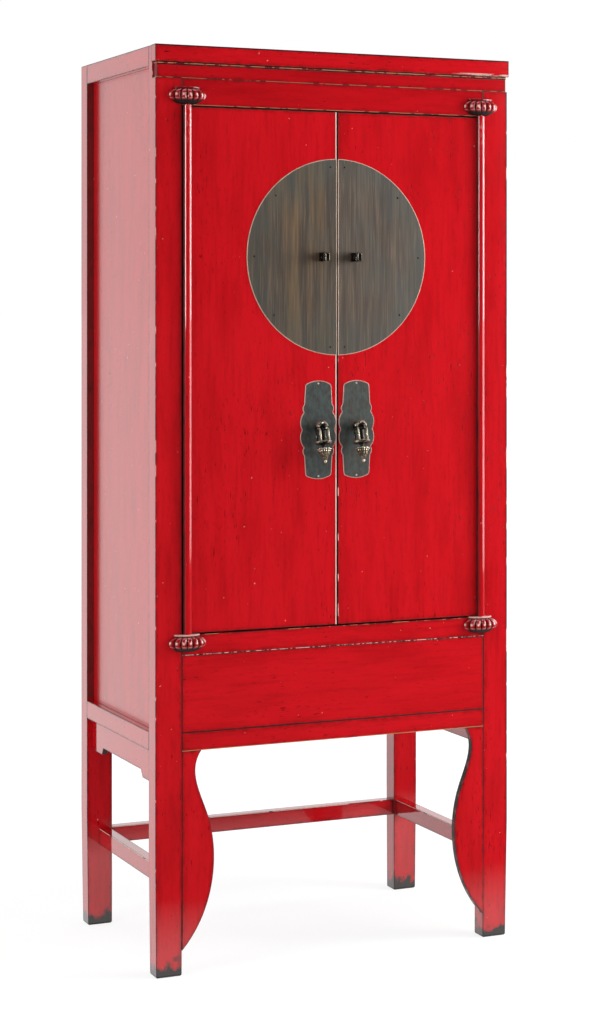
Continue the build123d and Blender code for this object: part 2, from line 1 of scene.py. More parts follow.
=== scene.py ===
import bpy
from math import asin, cos, exp, hypot, pi, radians, sin, sqrt
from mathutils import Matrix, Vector


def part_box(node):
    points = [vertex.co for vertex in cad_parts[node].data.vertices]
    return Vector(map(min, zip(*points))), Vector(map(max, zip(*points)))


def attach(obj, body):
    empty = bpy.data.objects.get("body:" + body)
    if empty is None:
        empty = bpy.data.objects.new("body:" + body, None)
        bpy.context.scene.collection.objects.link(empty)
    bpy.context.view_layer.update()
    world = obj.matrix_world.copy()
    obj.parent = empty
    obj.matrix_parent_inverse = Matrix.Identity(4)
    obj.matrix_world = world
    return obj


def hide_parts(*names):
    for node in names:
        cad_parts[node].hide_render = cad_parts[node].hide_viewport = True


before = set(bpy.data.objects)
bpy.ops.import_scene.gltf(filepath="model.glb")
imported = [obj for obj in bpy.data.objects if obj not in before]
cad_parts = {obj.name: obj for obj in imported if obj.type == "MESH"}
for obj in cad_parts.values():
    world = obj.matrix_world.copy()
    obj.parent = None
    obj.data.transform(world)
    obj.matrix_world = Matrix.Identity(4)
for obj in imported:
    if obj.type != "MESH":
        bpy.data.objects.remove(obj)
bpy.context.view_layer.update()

# The looks of a red lacquered wedding cabinet. Metres. The doors face -Y, and +Z is up.
MM = 0.001
SIDES = ("left", "right")
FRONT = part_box("left_door_leaf")[0].y  # the plane of the doors' faces


# ---------------------------------------------------------------- colours
def rgb(red, green, blue):
    """A colour from its 0-255 screen values, as the linear values that Blender holds."""
    linear = [((v / 255 + 0.055) / 1.055) ** 2.4 if v > 10 else v / 255 / 12.92
              for v in (red, green, blue)]
    return (*linear, 1)


LACQUER = rgb(196, 17, 26)
LACQUER_DEEP = rgb(150, 8, 15)
LACQUER_BRIGHT = rgb(204, 19, 29)
LACQUER_SHADE = rgb(104, 10, 14)
SEAM = rgb(26, 9, 8)
GAP_SHADE = rgb(44, 6, 8)
# Painted shade for a face inside the side's recess.
RECESS_SHADE = rgb(92, 26, 24)
GESSO = rgb(240, 196, 186)
GESSO_TAN = rgb(196, 132, 92)
GRIME = rgb(40, 34, 30)
WOOD = rgb(104, 74, 54)
WOOD_DARK = rgb(62, 42, 30)
# The right-hand plates are painted lighter than the left-hand ones, as painted light from the
# right.
PLATE_LEFT = rgb(104, 88, 72)
PLATE_RIGHT = rgb(106, 92, 80)
PULL_PLATE_LEFT = rgb(84, 88, 86)
PULL_PLATE_RIGHT = rgb(104, 102, 96)
PLATE_STREAK = rgb(58, 50, 45)
PLATE_RUBBED = rgb(156, 136, 112)
PLATE_GOLD = rgb(138, 108, 70)
PLATE_RIM = rgb(244, 218, 194)
VERDIGRIS = rgb(76, 88, 86)
NAIL_DARK = rgb(40, 32, 24)
NAIL_PALE = rgb(236, 226, 206)
BRONZE = rgb(40, 34, 27)
BRASS = rgb(62, 56, 47)
BASKET_GOLD = rgb(122, 100, 62)
BRASS_DARK = rgb(20, 17, 13)
BRASS_PALE = rgb(250, 238, 214)


# ---------------------------------------------------------------- node trees
class Recipe:
    """One procedural material: its node tree, and short ways to add to it."""

    def __init__(self, name):
        self.material = bpy.data.materials.new(name)
        self.material.use_nodes = True
        self.tree = self.material.node_tree
        self.shader = self.tree.nodes["Principled BSDF"]
        where = self.add("ShaderNodeTexCoord")
        self.place = where.outputs["Object"]
        self.facing = where.outputs["Normal"]

    def add(self, kind, inputs=(), **settings):
        node = self.tree.nodes.new(kind)
        for key, value in settings.items():
            setattr(node, key, value)
        for key, value in dict(inputs).items():
            self.feed(node.inputs[key], value)
        return node

    def feed(self, socket, value):
        """Link a socket to another, or set its value."""
        if isinstance(value, bpy.types.NodeSocket):
            self.tree.links.new(value, socket)
        else:
            socket.default_value = value

    def maths(self, operation, *values):
        return self.add("ShaderNodeMath", dict(enumerate(values)), operation=operation).outputs[0]

    def ramp(self, value, low, high, to_low=0.0, to_high=1.0):
        """low to high becomes to_low to to_high, and is held beyond them."""
        inputs = {0: value, 1: low, 2: high, 3: to_low, 4: to_high}
        return self.add("ShaderNodeMapRange", inputs).outputs[0]

    def mix(self, factor, a, b, how="MIX"):
        node = self.add("ShaderNodeMix", {0: factor, 6: a, 7: b}, data_type="RGBA", blend_type=how)
        return node.outputs[2]

    def noise(self, waves, detail=3.0, shift=0.0):
        """Noise of about so many waves a metre along X, Y and Z.

        detail is its octaves. A shift of its own keeps one noise from following another.
        """
        mapped = self.add("ShaderNodeMapping",
                          {"Vector": self.place, "Scale": waves, "Location": (shift,) * 3})
        inputs = {"Vector": mapped.outputs[0], "Scale": 1.0, "Detail": detail}
        return self.add("ShaderNodeTexNoise", inputs).outputs[0]

    def along(self, axis):
        """The coordinate on one axis."""
        return self.add("ShaderNodeSeparateXYZ", {0: self.place}).outputs[axis]

    def arris(self, reach, axes="XYZ", start=0.995, full=0.90):
        """1 on the corners of a squared piece, and 0 where it is flat for more than the reach.

        The rounded normal is turned into the piece's own directions, so wear moves with a door.
        """
        rounded = self.add("ShaderNodeBevel", {"Radius": reach}, samples=6).outputs[0]
        own = self.add("ShaderNodeVectorTransform", {0: rounded}, vector_type="NORMAL",
                       convert_from="WORLD", convert_to="OBJECT").outputs[0]
        parts = self.add("ShaderNodeSeparateXYZ", {0: own})
        flat = 0.0
        for axis in axes:
            flat = self.maths("MAXIMUM", flat, self.maths("ABSOLUTE", parts.outputs[axis]))
        return self.ramp(flat, start, full)

    def turned_from(self, axis):
        """1 where the surface doesn't face along an axis, and 0 where it does."""
        facing = self.add("ShaderNodeSeparateXYZ", {0: self.facing}).outputs[axis]
        return self.ramp(self.maths("ABSOLUTE", facing), 0.95, 0.80)

    def beside(self, axis, place, reach):
        """1 close to a plane across one axis, and 0 beyond the reach."""
        offset = self.maths("SUBTRACT", self.along(axis), place)
        return self.ramp(self.maths("ABSOLUTE", offset), reach, 0.7 * reach)

    def carried(self, name):
        """A value that the mesh carries, 0 where it has none."""
        return self.add("ShaderNodeAttribute", attribute_name=name).outputs["Fac"]

    def bump(self, height, distance):
        """The normal of a surface that is raised by height times distance."""
        inputs = {"Height": height, "Distance": distance, "Strength": 1.0}
        return self.add("ShaderNodeBump", inputs).outputs[0]

    def finish(self, **sockets):
        """Feed the shader; a name's underscores stand for spaces."""
        for name, value in sockets.items():
            self.feed(self.shader.inputs[name.replace("_", " ")], value)
        return self.material


def stretched(axis, across, along):
    """Waves a metre that are few along one axis and many across it."""
    return tuple(along if n == "XYZ".index(axis) else across for n in range(3))


# ---------------------------------------------------------------- materials
FLECK_LIMIT = 0.725  # how high the noise is where a dark fleck shows
FLECK_RANGE = 0.075  # how much lower that limit is in a spotted zone or near an edge
FLAKES_FADE = (50 * MM, 20 * MM)  # below and above the height where the rods start to flake
HALO_REACH = 16 * MM  # how far from an edge the lacquer is darkened
WORN_REACH = 3.2 * MM  # how far from an edge the undercoat shows
GAP_FADE = 10 * MM  # half the height over which a dark face starts
DIRT_HEIGHT = 50 * MM  # how far dirt climbs the feet
GOLD_SPREAD = (85 * MM, 10 * MM)  # from the golden band's middle: where gold starts, and is full
GREEN_SPREAD = (0.12, 0.21)  # the same for green, from the round plate's middle


def red_lacquer(name, grain, edge_axes="XYZ", edges=True, pale=(), dark=(), dull=0.0,
                chipped_above=None, scuffed=None, haze=0.04):
    """Glossy red lacquer over a dark undercoat, with the grain along one axis and wear on its
    edges.

    It also lays on the painted shade and the painted highlights that the mesh carries.
    pale holds (axis, place, reach, share, waves, colour) of edges painted in another tone: most
    show the ground through wear, some are lined dark, and the left door's meeting edge has a
    painted highlight.
    dark holds (axis, place, reach, floor, colour) of faces painted dark above a height: painted
    shade where they lie in a gap, and dark joints.
    A share of deep tone laid over the lacquer darkens it; on the top rail and the cornice's lower
    band it is painted shade under the cornice's upper band.
    scuffed is (x, reach, z, reach) of a place with pale scratches.
    haze is how soft the mirror of the coat is.
    """
    r = Recipe(name)
    low = r.along("Z")
    patches = r.noise(stretched(grain, 24, 5), 5)
    streaks = r.noise(stretched(grain, 120, 10), 5, 3.1)
    short = r.noise(stretched(grain, 330, 60), 3, 7.7)
    ragged = r.noise((55, 55, 40), 5, 2.0)
    colour = r.mix(r.ramp(patches, 0.40, 0.60), LACQUER_BRIGHT, LACQUER)
    colour = r.mix(r.ramp(patches, 0.54, 0.72, dull, dull + 0.30), colour, LACQUER_DEEP)
    colour = r.mix(r.ramp(streaks, 0.50, 0.70, 0.0, 0.30), colour, LACQUER_DEEP)
    colour = r.mix(r.ramp(short, 0.56, 0.74, 0.0, 0.25), colour, LACQUER_SHADE)
    zone = r.ramp(r.noise((7, 7, 7), 3, 5.0), 0.44, 0.62)
    near_edge = r.arris(HALO_REACH, edge_axes) if edges else 0.0
    speckle = r.noise(stretched(grain, 300, 52), 3, 11.0)
    spotted = r.maths("MAXIMUM", zone, near_edge)
    limit = r.maths("SUBTRACT", FLECK_LIMIT, r.maths("MULTIPLY", FLECK_RANGE, spotted))
    flecks = r.ramp(r.maths("SUBTRACT", speckle, limit), 0.0, 0.03)
    colour = r.mix(r.maths("MULTIPLY", flecks, 0.75), colour, SEAM)
    chips = r.ramp(r.noise((130, 130, 110), 2, 21.0), 0.752, 0.772)
    colour = r.mix(r.maths("MULTIPLY", chips, 0.6), colour, GESSO)
    if chipped_above:
        top = r.ramp(low, chipped_above - FLAKES_FADE[0], chipped_above + FLAKES_FADE[1])
        flaked = r.maths("MULTIPLY", r.ramp(r.noise((300, 300, 80), 3, 25.0), 0.56, 0.62), top)
        colour = r.mix(r.maths("MULTIPLY", flaked, 0.35), colour, GESSO)
    if scuffed:
        x, x_reach, z, z_reach = scuffed
        away = r.maths("ABSOLUTE", r.maths("SUBTRACT", r.along("X"), x))
        there = r.maths("MULTIPLY", r.ramp(away, x_reach, 0.0), r.beside("Z", z, z_reach))
        scratches = r.ramp(r.noise(stretched(grain, 260, 22), 4, 31.0), 0.46, 0.52)
        scratched = r.maths("MULTIPLY", scratches, there)
        colour = r.mix(r.ramp(scratched, 0.0, 0.5), colour, GESSO)
    bare_and_shaded = 0.0
    if edges:
        halo = r.maths("MULTIPLY", near_edge, r.ramp(ragged, 0.38, 0.66, 0.10, 0.75))
        colour = r.mix(halo, colour, LACQUER_SHADE)
        broken = r.ramp(r.noise((60, 60, 60), 3, 9.0), 0.34, 0.5, 0.6, 1.0)
        bare_and_shaded = r.maths("MULTIPLY", r.arris(WORN_REACH, edge_axes, 0.998, 0.975), broken)
    dirt = r.maths("ADD", r.ramp(low, 0.0, DIRT_HEIGHT, 0.80, 0.0),
                   r.ramp(ragged, 0.3, 0.75, -0.30, 0.30))
    colour = r.mix(r.ramp(dirt, 0.28, 0.5), colour, GRIME)
    # Grime and painted shade from the mesh darken it like the undercoat.
    bare_and_shaded = r.maths("MAXIMUM", bare_and_shaded, r.carried("grime_and_shade"))
    colour = r.mix(bare_and_shaded, colour, SEAM)
    # Faces in a gap get painted shade, and joints a dark line.
    for axis, place, reach, floor, tone in dark:
        face = r.maths("MULTIPLY", r.beside(axis, place, reach),
                       r.ramp(low, floor - GAP_FADE, floor + GAP_FADE))
        colour = r.mix(r.maths("MULTIPLY", face, r.ramp(ragged, 0.3, 0.6, 1.0, 0.75)), colour, tone)
        bare_and_shaded = r.maths("MAXIMUM", bare_and_shaded, face)
    for axis, place, reach, share, waves, tone in pale:
        edge = r.maths("MULTIPLY", r.beside(axis, place, reach), r.turned_from(axis))
        gone = r.ramp(r.noise((waves,) * 3, 6, 14.0), 0.66 - 0.32 * share, 0.70 - 0.32 * share)
        colour = r.mix(r.maths("MULTIPLY", edge, gone), colour, tone)
    # Painted highlights from the mesh.
    colour = r.mix(r.carried("painted_highlight"), colour, GESSO)
    height = r.maths("ADD", r.maths("MULTIPLY", streaks, 0.5), r.maths("MULTIPLY", short, 0.35))
    normal = r.bump(r.maths("SUBTRACT", height, r.maths("MULTIPLY", flecks, 0.8)), 0.04 * MM)
    ripple = r.bump(r.noise(stretched(grain, 60, 6), 2, 4.0), 0.05 * MM)
    roughness = r.maths("ADD", r.ramp(streaks, 0.3, 0.7, haze + 0.02, haze + 0.06),
                        r.maths("MULTIPLY", bare_and_shaded, 0.45))
    return r.finish(Base_Color=colour, Roughness=roughness, Normal=normal, IOR=1.42,
                    Coat_Weight=r.ramp(bare_and_shaded, 0.0, 1.0, 0.85, 0.04), Coat_Roughness=haze,
                    Coat_IOR=1.5, Coat_Normal=ripple)


def inside_wood(name, grain):
    """Dark stained wood, matt, with open grain."""
    r = Recipe(name)
    rings = r.noise(stretched(grain, 55, 1.5), 5)
    pores = r.noise(stretched(grain, 500, 18), 2, 6.0)
    colour = r.mix(r.ramp(rings, 0.3, 0.7), WOOD, WOOD_DARK)
    colour = r.mix(r.ramp(pores, 0.55, 0.75, 0.0, 0.6), colour, WOOD_DARK)
    colour = r.mix(r.maths("MULTIPLY", r.arris(2 * MM), 0.6), colour, WOOD_DARK)
    height = r.maths("ADD", r.maths("MULTIPLY", rings, 0.4), r.maths("MULTIPLY", pores, -0.6))
    return r.finish(Base_Color=colour, Roughness=r.ramp(pores, 0.3, 0.8, 0.55, 0.8),
                    Normal=r.bump(height, 0.2 * MM))


def patina(name, tone, rim_tone, gold=0.0, green=0.3, cloudy=18, mottled=0.0):
    """Brushed brass under a brown patina, greener towards its rim and pale along it from wear.

    gold, green and mottled are how much of each tone shows, and cloudy is the waves of the clouds.
    """
    r = Recipe(name)
    brushed = r.noise((430, 430, 14), 5)
    soft_streaks = r.noise((75, 75, 4), 5, 8.0)
    cloud = r.noise((cloudy, cloudy, 0.6 * cloudy), 5, 5.0)
    colour = r.mix(r.ramp(soft_streaks, 0.30, 0.66, 0.25, 1.0), PLATE_STREAK, tone)
    beside = r.maths("ABSOLUTE", r.maths("SUBTRACT", r.along("X"), GOLD_BAND))
    golden = r.maths("MULTIPLY", r.ramp(beside, *GOLD_SPREAD),
                     r.ramp(soft_streaks, 0.4, 0.65, 0.0, gold))
    colour = r.mix(golden, colour, PLATE_GOLD)
    colour = r.mix(r.ramp(brushed, 0.52, 0.74, 0.0, 0.38), colour, PLATE_RUBBED)
    colour = r.mix(r.ramp(brushed, 0.47, 0.28, 0.0, 0.45), colour, PLATE_STREAK)
    outward = r.add("ShaderNodeVectorMath", {0: r.place, 1: MOON_CENTRE},
                    operation="DISTANCE").outputs["Value"]
    stained = r.maths("ADD", r.ramp(cloud, 0.46, 0.70, 0.0, green),
                      r.ramp(outward, *GREEN_SPREAD, 0.0, green))
    colour = r.mix(stained, colour, VERDIGRIS)
    colour = r.mix(r.ramp(cloud, 0.62, 0.36, 0.0, mottled), colour, PLATE_STREAK)
    rim = r.arris(3.0 * MM, "Y", 0.998, 0.94)
    colour = r.mix(r.maths("MULTIPLY", rim, 0.95), colour, rim_tone)
    height = r.maths("ADD", r.maths("MULTIPLY", brushed, 0.6), r.maths("MULTIPLY", cloud, 1.0))
    roughness = r.ramp(soft_streaks, 0.3, 0.7, 0.50, 0.38)
    return r.finish(Base_Color=colour, Metallic=0.4, Roughness=roughness,
                    Normal=r.bump(height, 0.03 * MM))


def cast_brass(name, tone, rubbed=1.0, gold_below=None):
    """Cast brass with wear on its edges, dark where the mesh carries patina and painted shade, and
    pale where it carries painted highlights.
    """
    r = Recipe(name)
    cloud = r.noise((110, 110, 110), 3)
    pits = r.noise((700, 700, 700), 2, 4.0)
    colour = r.mix(r.ramp(cloud, 0.35, 0.62, 0.1, 0.85), BRASS_DARK, tone)
    if gold_below:
        golden = r.ramp(r.along("Z"), gold_below, gold_below - 2 * MM, 0.0, 0.8)
        colour = r.mix(golden, colour, BASKET_GOLD)
    worn_edge = r.maths("MULTIPLY", r.arris(1.0 * MM), r.ramp(cloud, 0.36, 0.62, 0.0, 0.7 * rubbed))
    colour = r.mix(worn_edge, colour, BRASS_PALE)
    # Painted highlights from the mesh.
    colour = r.mix(r.maths("MULTIPLY", r.carried("painted_highlight"), rubbed), colour, BRASS_PALE)
    # Patina and painted shade from the mesh.
    colour = r.mix(r.maths("MULTIPLY", r.carried("grime_and_shade"), 0.95), colour, BRASS_DARK)
    roughness = r.ramp(cloud, 0.3, 0.7, 0.34, 0.20)
    height = r.maths("ADD", r.maths("MULTIPLY", cloud, 1.0), r.maths("MULTIPLY", pits, 0.25))
    return r.finish(Base_Color=colour, Metallic=0.85, Roughness=roughness,
                    Normal=r.bump(height, 0.12 * MM))


def nail_metal():
    """Nail heads, dark round the round plate and pale on the pull plates."""
    r = Recipe("nail_brass")
    cloud = r.noise((900, 900, 900), 2)
    level = r.ramp(r.along("Z"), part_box("left_pull_plate")[1].z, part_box("left_moon_plate")[0].z)
    colour = r.mix(level, NAIL_PALE, NAIL_DARK)
    colour = r.mix(r.ramp(cloud, 0.4, 0.7, 0.0, 0.5), colour, BRASS_DARK)
    return r.finish(Base_Color=colour, Metallic=0.7, Roughness=r.ramp(cloud, 0.3, 0.7, 0.25, 0.4))


moon_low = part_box("left_moon_plate")[0]
moon_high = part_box("right_moon_plate")[1]
MOON_CENTRE = tuple((moon_low + moon_high) / 2)
GOLD_BAND = -85 * MM  # the middle of the golden streaks on the left half of the round plate
BASKET_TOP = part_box("left_pull_drop")[1].z - 57 * MM
lacquer_up = red_lacquer("lacquer_upright_grain", "Z")
lacquer_across = red_lacquer("lacquer_cross_grain", "X")
lacquer_deep = red_lacquer("lacquer_front_to_back_grain", "Y")
lacquer_carved = red_lacquer("lacquer_carved", "Z", edges=False, dull=0.95)
wood_across = inside_wood("inside_wood_cross_grain", "X")
wood_up = inside_wood("inside_wood_upright_grain", "Z")
# The right-hand plates' lighter tones are painted light from the right.
plates = {"left": patina("patina_left", PLATE_LEFT, PLATE_RIM, gold=0.45),
          "right": patina("patina_right", PLATE_RIGHT, PLATE_RIM)}
pull_plates = {"left": patina("patina_pull_left", PULL_PLATE_LEFT, GESSO,
                              green=0.6, cloudy=150, mottled=0.55),
               "right": patina("patina_pull_right", PULL_PLATE_RIGHT, GESSO,
                               green=0.5, cloudy=150, mottled=0.55)}
brass = cast_brass("cast_brass", BRASS, gold_below=BASKET_TOP)
bronze = cast_brass("lug_bronze", BRONZE, rubbed=0.25)
nail_brass = nail_metal()


def lacquer_for(node, grain, pale=(), dark=(), **settings):
    """Lacquer for one node.

    pale holds (axis, end, share, colour, reach, waves, inset), and dark holds (axis, end, colour,
    reach, floor). An end is 0 or 1, the low or high side of the node's box.
    """
    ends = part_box(node)

    def place(axis, end, inset=0.0):
        return ends[end]["XYZ".index(axis)] + (inset if end == 0 else -inset)

    return red_lacquer(f"lacquer_{node}", grain, **settings,
                       pale=[(axis, place(axis, end, inset), reach, share, waves, tone)
                             for axis, end, share, tone, reach, waves, inset in pale],
                       dark=[(axis, place(axis, end), reach, floor, tone)
                             for axis, end, tone, reach, floor in dark])


# Edges painted in another tone, for wear, for dark lines and for a painted highlight: reach, waves
# and inset.
WIDE = (3.0 * MM, 24, 0.0)
FINE = (1.2 * MM, 50, 0.0)
NARROW = (1.8 * MM, 24, 0.0)
DASHED = (1.5 * MM, 170, 0.0)
BEAD = (1.0 * MM, 70, 2.4 * MM)
WHOLE = 1.4  # the share of an edge that is painted from end to end
# Faces painted dark, with painted shade in gaps and dark joints: reach, and the height that they
# start at.
THIN_FACE = (1.5 * MM, 0.0)
SEAM_LINE = (2.2 * MM, 0.0)
ROD_SIDE = (1.8 * MM, 0.0)
PANEL_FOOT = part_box("left_bottom_rail")[1].z
# Painted shade on each post's face beside its rod's gap, from a little below the panels' foot up.
POST_GAP_SHADE = (2.4 * MM, PANEL_FOOT - 35 * MM)
ROD_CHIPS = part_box("left_upper_pivot_block")[0].z - 40 * MM
CORNICE_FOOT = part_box("cornice_upper_band")[0].z
CORNICE_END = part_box("cornice_upper_band")[1].x
CORNICE_SCUFF = (CORNICE_END - 40 * MM, 100 * MM, CORNICE_FOOT, 6 * MM)
PANEL_HAZE = 0.20
RODS = ("left_pivot_rod", "right_pivot_rod")
own_lacquer = {
    # The left door's meeting edge carries a painted highlight, and its end faces painted shade.
    "left_door_leaf": lacquer_for(
        "left_door_leaf", "Z", [("X", 1, 1.1, GESSO, *WIDE)],
        [("X", 1, GAP_SHADE, *THIN_FACE), ("X", 0, GAP_SHADE, *THIN_FACE)]),
    # The right door's end face in the gap carries painted shade.
    "right_door_leaf": lacquer_for(
        "right_door_leaf", "Z", [("X", 0, 0.25, GESSO, *NARROW)],
        [("X", 0, GAP_SHADE, *THIN_FACE)]),
    "sill_rail": lacquer_for(
        "sill_rail", "X", [("Z", 1, 0.40, GESSO_TAN, *FINE), ("Z", 0, 0.48, GESSO, *DASHED)],
        [("Z", 0, SEAM, *SEAM_LINE)]),
    "front_bottom_rail": lacquer_for(
        "front_bottom_rail", "X", [("Z", 0, 0.9, GESSO_TAN, *NARROW)],
        [("Z", 1, SEAM, *SEAM_LINE)]),
    "cornice_upper_band": lacquer_for(
        "cornice_upper_band", "X", [("Z", 1, WHOLE, SEAM, *WIDE)], scuffed=CORNICE_SCUFF),
    # The cornice's lower band and the top rail are darkened as painted shade under the cornice's
    # upper band, and the band's left end face carries painted shade.
    "cornice_lower_band": lacquer_for(
        "cornice_lower_band", "X",
        [("Z", 1, 0.65, GESSO_TAN, *BEAD), ("Z", 0, 0.60, GESSO_TAN, *FINE)],
        [("X", 0, LACQUER_SHADE, *THIN_FACE)], dull=0.30),
    "front_top_rail": lacquer_for(
        "front_top_rail", "X", [("Z", 0, 0.80, GESSO_TAN, *FINE)], dull=0.25),
    "left_front_post": lacquer_for(
        "left_front_post", "Z", [("X", 0, 0.25, GESSO, *FINE)], [("X", 1, SEAM, *POST_GAP_SHADE)]),
    "right_front_post": lacquer_for(
        "right_front_post", "Z",
        [("X", 1, WHOLE, SEAM, *WIDE), ("X", 1, 0.25, GESSO, *NARROW)],
        [("X", 0, SEAM, *POST_GAP_SHADE)]),
    # The left rear post's front face, inside the side's recess, carries painted shade.
    "left_rear_post": lacquer_for(
        "left_rear_post", "Z", dark=[("Y", 0, RECESS_SHADE, 1.5 * MM, PANEL_FOOT)]),
    "left_side_panel": lacquer_for("left_side_panel", "Z", haze=PANEL_HAZE),
    "right_side_panel": lacquer_for("right_side_panel", "Z", haze=PANEL_HAZE),
    "left_top_rail": lacquer_for("left_top_rail", "Y", [("Z", 1, WHOLE, SEAM, *NARROW)]),
    "left_bracket": lacquer_for("left_bracket", "Z", edge_axes="Y"),
    "right_bracket": lacquer_for("right_bracket", "Z", edge_axes="Y")}
for node, grain in (("rear_stretcher", "X"), ("left_stretcher", "Y"), ("right_stretcher", "Y")):
    own_lacquer[node] = lacquer_for(node, grain, [("Z", 1, 0.8, GESSO, *NARROW)])
for node in RODS:
    # Both sides of each rod, where it lies in its gaps, carry painted shade.
    own_lacquer[node] = lacquer_for(
        node, "Z", dark=[("X", 0, SEAM, *ROD_SIDE), ("X", 1, SEAM, *ROD_SIDE)],
        edges=False, chipped_above=ROD_CHIPS)


# ---------------------------------------------------------------- meshes
SHARP_FROM = radians(38)


class Shape:
    """A mesh put together from lofted solids, in millimetres from its own origin."""

    def __init__(self):
        self.points = []
        self.faces = []
        # Each point carries a share of dark grime and painted shade, and a share of painted
        # highlight.
        self.values = {"grime_and_shade": [], "painted_highlight": []}

    def loft(self, rings, grime_and_shade=None, painted_highlight=None):
        """A closed solid through rings of equally many points, flat at both ends."""
        start = len(self.points)
        count = len(rings[0])
        for k, ring in enumerate(rings):
            self.points += ring
            self.values["grime_and_shade"] += [grime_and_shade[k][n] if grime_and_shade else 0.0 for n in range(count)]
            self.values["painted_highlight"] += [painted_highlight[k][n] if painted_highlight else 0.0 for n in range(count)]
        for k in range(len(rings) - 1):
            low = start + k * count
            high = low + count
            for n in range(count):
                after = (n + 1) % count
                self.faces.append((low + n, low + after, high + after, high + n))
        self.faces.append(tuple(range(start + count - 1, start - 1, -1)))
        last = start + (len(rings) - 1) * count
        self.faces.append(tuple(range(last, last + count)))

    def turned(self, profile, count=32, lobes=0, depth=0.0, at=(0, 0)):
        """A solid turned on the Z axis from (radius, height, grime and painted shade, painted
        highlight), with lobes if any.
        """
        rings = []
        grime_and_shade = []
        for radius, height, dark, _ in profile:
            ring = []
            shade = []
            for n in range(count):
                angle = 2 * pi * n / count
                rise = abs(sin(lobes * angle / 2)) ** 0.6 if lobes else 1.0
                size = radius * (1 - depth * (1 - rise))
                ring.append((at[0] + size * cos(angle), at[1] + size * sin(angle), height))
                # The creases between lobes are painted dark as shade.
                shade.append(min(1.0, dark + (0.9 * (1 - rise) ** 2 if lobes else 0.0)))
            rings.append(ring)
            grime_and_shade.append(shade)
        self.loft(rings, grime_and_shade, [[painted_highlight] * count for _, _, _, painted_highlight in profile])

    def bar(self, low, high, rounding, grime_and_shade, painted_highlight):
        """An upright bar between two corners, with rounded ends and corners."""
        corners = 3
        rings = []
        levels = [(low[2], rounding), (low[2] + rounding, 0.0),
                  (high[2] - rounding, 0.0), (high[2], rounding)]
        for height, shrink in levels:
            ring = []
            for n, (sx, sy) in enumerate(((1, 1), (-1, 1), (-1, -1), (1, -1))):
                cx = (high[0] - rounding) if sx > 0 else (low[0] + rounding)
                cy = (high[1] - rounding) if sy > 0 else (low[1] + rounding)
                for k in range(corners):
                    angle = radians(90 * n + 90 * k / (corners - 1))
                    reach = rounding - shrink * 0.7
                    ring.append((cx + reach * cos(angle), cy + reach * sin(angle), height))
            rings.append(ring)
        count = len(rings[0])
        self.loft(rings, [[grime_and_shade] * count] * len(rings), [[painted_highlight] * count] * len(rings))

    def made(self, name, origin, material, slot, body, *nodes):
        """The finished object, standing for CAD nodes and riding on their body."""
        mesh = bpy.data.meshes.new(name)
        mesh.from_pydata([Vector(origin) + Vector(p) * MM for p in self.points], [], self.faces)
        for kind, values in self.values.items():
            mesh.attributes.new(kind, "FLOAT", "POINT").data.foreach_set("value", values)
        mesh.shade_smooth()
        mesh.materials.append(material)
        piece = bpy.data.objects.new(name, mesh)
        bpy.context.scene.collection.objects.link(piece)
        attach(piece, body)
        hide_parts(*nodes)
        keep_sharp(piece)
        return piece


def keep_sharp(piece):
    """Keep sharp corners sharp on a smooth-shaded mesh."""
    sharp = piece.modifiers.new("sharp_corners", "EDGE_SPLIT")
    sharp.split_angle = SHARP_FROM
    sharp.use_edge_sharp = False


def eased(profile, steps):
    """More points on a smooth curve through a profile's points."""
    dense = []
    for k in range(len(profile) - 1):
        before = profile[max(k - 1, 0)]
        here, there = profile[k], profile[k + 1]
        after = profile[min(k + 2, len(profile) - 1)]
        for n in range(steps):
            t = n / steps
            dense.append(tuple(0.5 * (2 * b + (c - a) * t + (2 * a - 5 * b + 4 * c - d) * t * t
                                      + (3 * b - a - 3 * c + d) * t ** 3)
                               for a, b, c, d in zip(before, here, there, after)))
    return dense + [profile[-1]]


# ---------------------------------------------------------------- carved pivot blocks
BLOCK_LOBES = 7
BLOCK_PROFILE = [  # share of the height, share of the reach, depth of the lobes
    (0.00, 0.46, 0.0), (0.05, 0.58, 0.0), (0.13, 0.70, 0.03), (0.20, 0.78, 0.06),
    (0.24, 0.86, 0.14), (0.32, 0.96, 0.25), (0.46, 1.00, 0.29), (0.62, 0.97, 0.28),
    (0.75, 0.87, 0.23), (0.83, 0.74, 0.14), (0.875, 0.65, 0.05), (0.91, 0.66, 0.02),
    (0.96, 0.68, 0.01), (0.985, 0.67, 0.01), (1.00, 0.62, 0.0)]
LOBE_STEPS = 14
LIP_START = 0.92
# The share of painted highlight on the lower blocks' lip.
LOWER_LIP_HIGHLIGHT = 0.7
# Painted shade on the underside, in the groove below the lip and in the creases between lobes.
UNDERSIDE = (0.27, 0.20)  # where it starts to darken and where it is all dark
GROOVE = (0.875, 0.03)  # share of the height, half its width
CREASE = (0.68, 0.94)  # share of a lobe's half width
# Painted highlights on each lobe: height, strength, half height and half width.
SPOTS = ((0.53, 1.0, 0.060, 0.26), (0.31, 0.25, 0.025, 0.45))


def between(value, low, high):
    """0 at low, 1 at high, and held beyond them."""
    return min(1.0, max(0.0, (value - low) / (high - low)))


def even_steps(half_width, reach, count):
    """Angles that cut half an oval into arcs of one length."""
    fine = 2000
    lengths = [0.0]
    for n in range(fine):
        before = pi * n / fine
        after = pi * (n + 1) / fine
        lengths.append(lengths[-1] + hypot(half_width * (cos(after) - cos(before)),
                                           reach * (sin(after) - sin(before))))
    angles = []
    n = 0
    for k in range(count + 1):
        while n < fine and lengths[n] < lengths[-1] * k / count:
            n += 1
        angles.append(pi * n / fine)
    return angles


